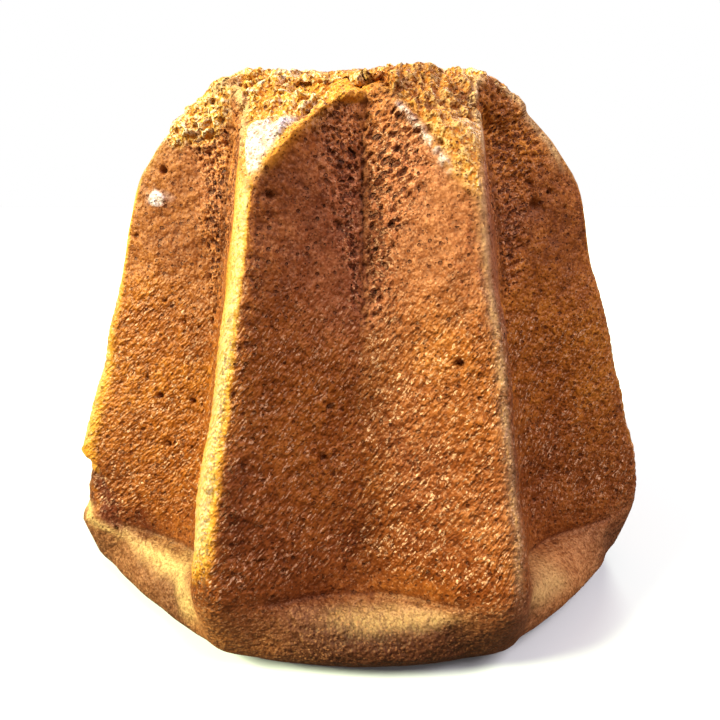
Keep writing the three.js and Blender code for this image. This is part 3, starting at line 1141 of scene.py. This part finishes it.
def mix_colour(tree, share, a, b, blend="MIX"):
    node = add(tree, "ShaderNodeMix", data_type="RGBA", blend_type=blend)
    for index, value in ((0, share), (6, a), (7, b)):
        link_or_set(tree, node.inputs[index], value)
    return node.outputs[2]


def layered(tree, colour, layers, blend="MIX"):
    """A colour with layers over it, each a share and a colour."""
    for share, layer in layers:
        colour = mix_colour(tree, share, colour, layer, blend)
    return colour


def ramp(tree, value, stops):
    """Colours along a value, as place and linear colour of each stop."""
    node = add(tree, "ShaderNodeValToRGB", {0: value})
    elements = node.color_ramp.elements
    while len(elements) < len(stops):
        elements.new(0.5)
    for element, (place, colour) in zip(elements, stops):
        element.position = place
        element.color = (*colour, 1.0)
    return node.outputs[0]


def noise(tree, where, scale, detail=2.0):
    inputs = {"Vector": where, "Scale": scale, "Detail": detail, "Roughness": NOISE_ROUGHNESS}
    return add(tree, "ShaderNodeTexNoise", inputs).outputs[0]


def grain(tree, where, length, detail=2.0):
    """Noise whose light and dark spots are a length in millimetres across."""
    return noise(tree, where, 0.5 / (length * MM), detail)


def stretched(tree, where, lean, wide, long):
    """Places on the unrolled crust in lengths of a grain that leans clockwise from upright, in degrees."""
    mapping = {"Vector": where, "Rotation": (0.0, 0.0, math.radians(lean))}
    turned = add(tree, "ShaderNodeMapping", mapping).outputs[0]
    scaling = {"Vector": turned, "Scale": (1.0 / wide, 1.0 / long, 1.0)}
    return add(tree, "ShaderNodeMapping", scaling).outputs[0]


def cell_draw(tree, where, scale, dimensions="3D"):
    """A random number for each of the cells that fill a space, and the distance from the cell's middle."""
    settings = {"voronoi_dimensions": dimensions}
    node = add(tree, "ShaderNodeTexVoronoi", {"Vector": where, "Scale": scale}, **settings)
    draw = add(tree, "ShaderNodeSeparateColor", {0: node.outputs["Color"]}).outputs[0]
    return draw, node.outputs["Distance"]


def spots(tree, where, scale, smallest, growth):
    """Round spots, one to a cell, each with a reach that starts at the smallest and grows by chance."""
    draw, distance = cell_draw(tree, where, scale, "2D")
    reach = times_plus(tree, draw, growth, smallest)
    inside = add(tree, "ShaderNodeMath", {0: reach, 1: distance}, operation="SUBTRACT").outputs[0]
    return between(tree, inside, 0.0, SPOT_EDGE)


def pore_spots(tree, where, pores, share):
    """Spots that grow only as far as a share lets them."""
    scale, smallest, growth = pores
    return spots(tree, where, scale, smallest, times(tree, share, growth))


def between(tree, value, low, high):
    """A value's share of the way from low to high, held between 0 and 1."""
    inputs = {"Value": value, "From Min": low, "From Max": high}
    return add(tree, "ShaderNodeMapRange", inputs).outputs[0]


def mask(tree, name):
    return add(tree, "ShaderNodeAttribute", attribute_name=name).outputs["Fac"]


# Lengths of the even grain in millimetres
BROAD_GRAIN = 22.0
BAKED_GRAIN = 17.0
MEDIUM_GRAIN = 2.0
FINE_GRAIN = 0.7
GRIT_SIZE = 0.45
BUBBLE_SIZE = 1.3

# Grain that is drawn out along the unrolled crust, as lean in degrees, width and length
STREAKS = (40.0, 5.0, 15.0)
WRINKLES = (34.0, 0.9, 3.6)
FLECK_PATCHES = (38.0, 8.0, 16.0)
BRUSHED_SKIN = (0.0, 0.6, 2.0)
FIBRES = (36.0, 0.35, 1.3)

# Pores too fine for the mesh, as how many to a unit, smallest reach and growth
FINE_PORES = (1.5, -0.12, 0.7)
WIDE_PORES = (0.75, -0.14, 0.62)
PINHOLES = (1.0, -0.2, 0.44)
PITS = (0.42, -0.24, 0.5)

# Values between which a mask goes from 0 to 1
SPECK_GRIT = (0.22, 0.08)
FLECK_GRIT = (0.74, 0.94)
FLECKED = (0.40, 0.62)
BUBBLED = (0.55, 0.15)
BAKED = (0.44, 0.60)
CRESTED = (0.12, 0.42)
TINT_HEIGHTS = (30.0 * MM, 130.0 * MM)

# Linear colours, from hollows to high spots of the grain, the hollows darker partly as painted shade
CRUST_STOPS = ((0.3, (0.165, 0.038, 0.0036)), (0.5, (0.285, 0.076, 0.0072)), (0.7, (0.43, 0.142, 0.0175)))
LIGHT_TINT = (1.36, 1.48, 0.9, 1.0)
ROSY_TINT = (1.0, 1.06, 2.4, 1.0)
POROUS_TINT = (1.42, 1.5, 1.8, 1.0)
GOLDEN_STOPS = ((0.3, (0.54, 0.205, 0.008)), (0.5, (0.69, 0.41, 0.060)), (0.7, (0.93, 0.80, 0.48)))
FOOT_STOPS = ((0.3, (0.14, 0.045, 0.013)), (0.5, (0.215, 0.080, 0.029)), (0.7, (0.36, 0.165, 0.075)))
LOW_FOOT_SHADE_TINT = (0.25, 0.15, 0.105, 1.0)
PAINTED_FOOT_LIGHT_TINT = (1.55, 1.5, 0.95, 1.0)
PAINTED_FOOT_SHADE_TINT = (0.6, 0.54, 0.54, 1.0)
TOASTED_TINT = (0.60, 0.42, 0.22, 1.0)
SPECK_TINT = (0.42, 0.30, 0.24, 1.0)
FLECK_AND_GLINT_COLOUR = (0.70, 0.40, 0.20, 1.0)
FOOT_FLECK_COLOUR = (0.42, 0.19, 0.06, 1.0)
SHADED_FOOT_FLECK_COLOUR = (0.19, 0.070, 0.022, 1.0)
PALE_STOPS = ((0.34, (0.5, 0.37, 0.25)), (0.5, (0.72, 0.61, 0.5)), (0.66, (0.82, 0.77, 0.80)))
CREST_AND_HIGHLIGHT_STOPS = (
    (0.15, (0.45, 0.16, 0.007)),
    (0.4, (0.60, 0.255, 0.018)),
    (0.7, (0.64, 0.375, 0.07)),
    (1.0, (0.60, 0.43, 0.175)),
)
SHELF_HIGHLIGHT_COLOUR = (0.78, 0.53, 0.17, 1.0)
PALE_EDGE_COLOUR = (0.62, 0.40, 0.16, 1.0)
WALL_SHADE_TINT = (0.62, 0.52, 0.60, 1.0)
RIM_COLOUR = (0.44, 0.185, 0.0333, 1.0)
TEAR_COLOUR = (0.11, 0.019, 0.006, 1.0)
FLAP_COLOUR = (0.66, 0.26, 0.016, 1.0)
PORE_SHADE_TINT = (0.32, 0.17, 0.11, 1.0)
CREASE_SHADE_TINT = (0.46, 0.34, 0.28, 1.0)
HOLLOW_SHADE_COLOUR = (0.55, 0.167, 0.00888, 1.0)
BAKED_TINT = (0.84, 0.75, 0.72, 1.0)
LOW_TINT = (0.86, 0.80, 0.78, 1.0)
HIGH_TINT = (0.94, 0.94, 1.10, 1.0)
SHINE_TINT = (1.0, 0.669, 0.37, 1.0)
SHINE = 0.4
ROUGHNESS = 0.58


def crust_material():
    """Baked crust: its grain, then its colours from the crust outwards, then its roughness and bumps."""
    material = bpy.data.materials.new("baked_crust")
    material.use_nodes = True
    tree = material.node_tree
    tree.nodes.clear()
    where = add(tree, "ShaderNodeTexCoord").outputs["Object"]
    unrolled = add(tree, "ShaderNodeAttribute", attribute_name="unrolled").outputs["Vector"]
    flow = add(tree, "ShaderNodeAttribute", attribute_name="flow").outputs["Vector"]
    height = add(tree, "ShaderNodeSeparateXYZ", {0: where}).outputs[2]
    masks = {name: mask(tree, name) for name in MASKS}
    leathery = masks["leathery"]
    off_ridge = masks["off_ridge"]
    porous = masks["porous"]
    broad = grain(tree, where, BROAD_GRAIN)
    medium = grain(tree, where, MEDIUM_GRAIN)
    fine = grain(tree, where, FINE_GRAIN, 1.0)
    streaks = noise(tree, stretched(tree, unrolled, *STREAKS), 1.0)
    wrinkle = noise(tree, stretched(tree, unrolled, *WRINKLES), 1.0)
    patches = noise(tree, stretched(tree, unrolled, *FLECK_PATCHES), 1.0)
    brushed = noise(tree, stretched(tree, unrolled, *BRUSHED_SKIN), 1.0)

    # Grit: a random tone for each grain, and on the leathery walls for each leaning fibre
    grains = cell_draw(tree, where, 1.0 / (GRIT_SIZE * MM))[0]
    fibres = cell_draw(tree, stretched(tree, unrolled, *FIBRES), 1.0, "2D")[0]
    fibre_share = times(tree, times(tree, leathery, off_ridge), 0.7)
    grit = add(tree, "ShaderNodeMix", {0: fibre_share, 2: grains, 3: fibres}, data_type="FLOAT").outputs[0]

    # Dark specks, and light flecks of the worn crust that are partly painted glints
    worn_kinds = ("leathery", "porous", "golden", "foot")
    worn = between(tree, weighted(tree, 0.35, *((masks[kind], 0.65) for kind in worn_kinds)), 0.0, 1.0)
    speck = times(tree, between(tree, grit, *SPECK_GRIT), worn)
    rough_crust = weighted(tree, 0.0, (leathery, 1.0), (porous, 0.45), (masks["foot"], 0.4))
    fleck_patch = times(tree, between(tree, patches, *FLECKED), rough_crust)
    fleck_share = weighted(tree, 0.25, (rough_crust, 0.4), (fleck_patch, 0.65))
    fleck_and_glint = times(tree, times(tree, between(tree, grit, *FLECK_GRIT), fleck_share), worn)

    # Fine pores of the porous crust, pinholes and pits off the smooth skin, and bubbles of the open crumb
    smooth_skin = weighted(tree, 0.0, (masks["foot"], 0.75), (masks["crest"], 0.7), (masks["pale"], 0.2))
    not_smooth = between(tree, smooth_skin, 1.0, 0.0)
    pitted = times(tree, off_ridge, not_smooth)
    fine_pore = pore_spots(tree, flow, FINE_PORES, porous)
    wide_pore = pore_spots(tree, flow, WIDE_PORES, times(tree, porous, masks["coarse"]))
    pinhole = times(tree, pitted, spots(tree, unrolled, *PINHOLES))
    pit = times(tree, pitted, spots(tree, unrolled, *PITS))
    bubble = cell_draw(tree, where, 1.0 / (BUBBLE_SIZE * MM))[1]
    fine_hollow = times(tree, masks["open_crumb"], between(tree, bubble, *BUBBLED))

    # Crust, from its grain, darker where the bumps sink as painted shade, and tinted where it is baked more
    # or less, lighter, rosier and porous, and with painted shade on the walls
    tones = ((broad, 0.5), (medium, 0.4), (fine, 0.45), (streaks, 0.4), (grit, 0.2))
    tone = weighted(tree, 0.5 - 0.5 * sum(weight for _, weight in tones), *tones)
    crust = ramp(tree, weighted(tree, -0.1, (tone, 1.0), (wrinkle, 0.2)), CRUST_STOPS)
    tint = mix_colour(tree, between(tree, height, *TINT_HEIGHTS), LOW_TINT, HIGH_TINT)
    baked = times(tree, between(tree, grain(tree, where, BAKED_GRAIN), *BAKED), leathery)
    crust_tints = (
        (1.0, tint),
        (baked, BAKED_TINT),
        (masks["light"], LIGHT_TINT),
        (masks["rosy"], ROSY_TINT),
        (porous, POROUS_TINT),
        # painted shade on the walls, over the crease and beside the leaning ridge
        (masks["painted_shade"], WALL_SHADE_TINT),
    )
    crust = layered(tree, crust, crust_tints, "MULTIPLY")

    # Crumb, with painted shade in its bubbles' hollows and whitish painted highlights on its high spots, then
    # foot and crest
    golden = ramp(tree, weighted(tree, -0.35, (tone, 1.2), (fine, 0.5)), GOLDEN_STOPS)
    hollows = (times(tree, masks["crumb_hollow"], 0.85), times(tree, fine_hollow, 0.5))
    golden = layered(tree, golden, [(share, HOLLOW_SHADE_COLOUR) for share in hollows])
    golden = mix_colour(tree, masks["toasted"], golden, TOASTED_TINT, "MULTIPLY")
    foot = ramp(tree, weighted(tree, -0.25, (tone, 1.0), (brushed, 0.5)), FOOT_STOPS)
    # painted shade low on the foot and in front, and painted light on its lit stretches
    foot_tints = (("shaded_low_foot", LOW_FOOT_SHADE_TINT), ("painted_foot_light", PAINTED_FOOT_LIGHT_TINT), ("painted_foot_shade", PAINTED_FOOT_SHADE_TINT))
    foot = layered(tree, foot, [(masks[name], foot_tint) for name, foot_tint in foot_tints], "MULTIPLY")
    ragged_crest_and_highlight = times(tree, masks["crest"], weighted(tree, 0.6, (grit, 0.8)))
    fleck_and_glint_colour = mix_colour(tree, masks["foot"], FLECK_AND_GLINT_COLOUR, FOOT_FLECK_COLOUR)
    # darker flecks in the painted shade of the lower foot
    fleck_and_glint_colour = mix_colour(tree, masks["shaded_low_foot"], fleck_and_glint_colour, SHADED_FOOT_FLECK_COLOUR)

    # What lies over the crust, and then what darkens it: dark specks, and painted shade in pores, pits and
    # creases
    covers = (
        (masks["foot"], foot),
        # pale crests, partly a painted highlight
        (between(tree, ragged_crest_and_highlight, *CRESTED), ramp(tree, ragged_crest_and_highlight, CREST_AND_HIGHLIGHT_STOPS)),
        # painted highlight on the foot's shelf
        (times(tree, masks["shelf_highlight"], weighted(tree, 0.5, (grit, 0.6))), SHELF_HIGHLIGHT_COLOUR),
        (masks["golden"], golden),
        (times(tree, masks["facet_rim"], 0.8), RIM_COLOUR),
        (times(tree, masks["pale_edge"], 0.9), PALE_EDGE_COLOUR),
        (masks["pale"], ramp(tree, tone, PALE_STOPS)),
        (times(tree, masks["tear"], 0.9), TEAR_COLOUR),
        (times(tree, masks["flap"], 0.9), FLAP_COLOUR),
        # light flecks, partly painted glints
        (fleck_and_glint, fleck_and_glint_colour),
    )
    darker = (
        (times(tree, times(tree, speck, not_smooth), 0.7), SPECK_TINT),
        # painted shade in the pores and pits
        (times(tree, masks["pore"], 0.7), PORE_SHADE_TINT),
        (times(tree, fine_pore, 0.8), PORE_SHADE_TINT),
        (times(tree, wide_pore, 0.95), PORE_SHADE_TINT),
        (times(tree, pinhole, 0.8), PORE_SHADE_TINT),
        (times(tree, pit, 0.78), PORE_SHADE_TINT),
        # painted shade in the creases of the valleys and over the foot
        (times(tree, masks["line"], 0.75), CREASE_SHADE_TINT),
    )
    colour = layered(tree, layered(tree, crust, covers), darker, "MULTIPLY")

    rough = weighted(tree, ROUGHNESS, (leathery, -0.18), (masks["open_crumb"], 0.1))
    bumps = (
        (times(tree, fine, worn), 0.9),
        (fleck_and_glint, 0.35),
        (speck, -0.2),
        (medium, 1.35),
        (times(tree, times(tree, wrinkle, leathery), off_ridge), 1.0),
        (fine_pore, -0.6),
        (wide_pore, -0.9),
        (pinhole, -0.4),
        (pit, -0.6),
        (fine_hollow, -0.6),
    )
    bump_height = weighted(tree, 0.0, *bumps)
    bump = add(tree, "ShaderNodeBump", {"Strength": 1.0, "Distance": MM, "Height": bump_height})
    surface = {"Base Color": colour, "Roughness": rough, "Normal": bump.outputs[0]}
    shine = {"Specular IOR Level": SHINE, "Specular Tint": SHINE_TINT}
    shader = add(tree, "ShaderNodeBsdfPrincipled", {**surface, **shine})
    out = add(tree, "ShaderNodeOutputMaterial")
    tree.links.new(shader.outputs[0], out.inputs[0])
    return material


pandoro.data.materials.clear()
pandoro.data.materials.append(crust_material())
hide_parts("pandoro")
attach(pandoro, "root")

# Floor, white to the camera and duller to the light that it throws back on the cake
FLOOR = 20.0
FLOOR_SEEN = (0.70, 0.765, 0.67, 1.0)
FLOOR_BOUNCE = (0.12, 0.09, 0.06, 1.0)

# Lamps, as name, azimuth from the front, elevation, strength, spread and colour, and the light from all round
LAMPS = (
    ("key", -71.0, 36.0, 8.5, 20.0, (0.97, 1.0, 0.75)),
    ("fill", 52.0, 56.0, 2.7, 30.0, (0.92, 0.82, 1.0)),
    ("back", 150.0, 40.0, 1.85, 20.0, (0.98, 1.0, 1.0)),
)
AMBIENT_COLOUR = (0.95, 0.83, 1.0, 1.0)
AMBIENT_STRENGTH = 0.47
WHITE = (1.0, 1.0, 1.0, 1.0)


def pale_floor():
    corners = [(-FLOOR, -FLOOR, 0.0), (FLOOR, -FLOOR, 0.0), (FLOOR, FLOOR, 0.0), (-FLOOR, FLOOR, 0.0)]
    mesh = bpy.data.meshes.new("floor")
    mesh.from_pydata(corners, [], [(0, 1, 2, 3)])
    material = bpy.data.materials.new("pale_floor")
    material.use_nodes = True
    tree = material.node_tree
    tree.nodes.clear()
    path = add(tree, "ShaderNodeLightPath")
    colour = mix_colour(tree, path.outputs["Is Camera Ray"], FLOOR_BOUNCE, FLOOR_SEEN)
    shader = add(tree, "ShaderNodeBsdfDiffuse", {"Color": colour})
    out = add(tree, "ShaderNodeOutputMaterial")
    tree.links.new(shader.outputs[0], out.inputs[0])
    mesh.materials.append(material)
    floor = bpy.data.objects.new("floor", mesh)
    bpy.context.scene.collection.objects.link(floor)
    floor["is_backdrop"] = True


def sun(name, azimuth, elevation, strength, spread, colour):
    """A distant soft lamp seen at an azimuth from the front and an elevation, in degrees."""
    lamp = bpy.data.lights.new(name, "SUN")
    lamp.energy = strength
    lamp.angle = math.radians(spread)
    lamp.color = colour
    obj = bpy.data.objects.new(name, lamp)
    a, e = math.radians(azimuth), math.radians(elevation)
    towards = Vector((math.sin(a) * math.cos(e), -math.cos(a) * math.cos(e), math.sin(e)))
    obj.rotation_mode = "QUATERNION"
    obj.rotation_quaternion = towards.to_track_quat("Z", "Y")
    bpy.context.scene.collection.objects.link(obj)


def studio_world():
    """White to the camera, and a dimmer light from all round."""
    world = bpy.data.worlds.new("studio")
    bpy.context.scene.world = world
    world.use_nodes = True
    tree = world.node_tree
    tree.nodes.clear()
    seen = add(tree, "ShaderNodeBackground", {"Color": WHITE, "Strength": 1.0})
    ambient = add(tree, "ShaderNodeBackground", {"Color": AMBIENT_COLOUR, "Strength": AMBIENT_STRENGTH})
    path = add(tree, "ShaderNodeLightPath")
    mix = {0: path.outputs["Is Camera Ray"], 1: ambient.outputs[0], 2: seen.outputs[0]}
    both = add(tree, "ShaderNodeMixShader", mix)
    out = add(tree, "ShaderNodeOutputWorld")
    tree.links.new(both.outputs[0], out.inputs[0])


pale_floor()
for lamp in LAMPS:
    sun(*lamp)
studio_world()

# Camera, from the photograph's vanishing lines: focal length and middle column in pixels
IMAGE = 720.0
FOCAL = 567.0
MIDDLE_COLUMN = 357.7
EYE_DISTANCE = 210.0
EYE_HEIGHT = 122.0
EYE_TURN = math.radians(1.43)
EYE_PITCH = math.radians(15.3)
SENSOR = 36.0
NEAREST = 10.0


def photo_camera():
    camera = bpy.data.cameras.new("camera")
    camera.sensor_width = SENSOR
    camera.lens = SENSOR * FOCAL / IMAGE
    camera.shift_x = (IMAGE / 2.0 - MIDDLE_COLUMN) / IMAGE
    camera.clip_start = NEAREST * MM
    eye = bpy.data.objects.new("camera", camera)
    back = EYE_DISTANCE * MM
    eye.location = (-back * math.sin(EYE_TURN), -back * math.cos(EYE_TURN), EYE_HEIGHT * MM)
    eye.rotation_euler = (math.pi / 2.0 - EYE_PITCH, 0.0, -EYE_TURN)
    bpy.context.scene.collection.objects.link(eye)
    bpy.context.scene.camera = eye


photo_camera()
bpy.context.scene.view_settings.view_transform = "Standard"
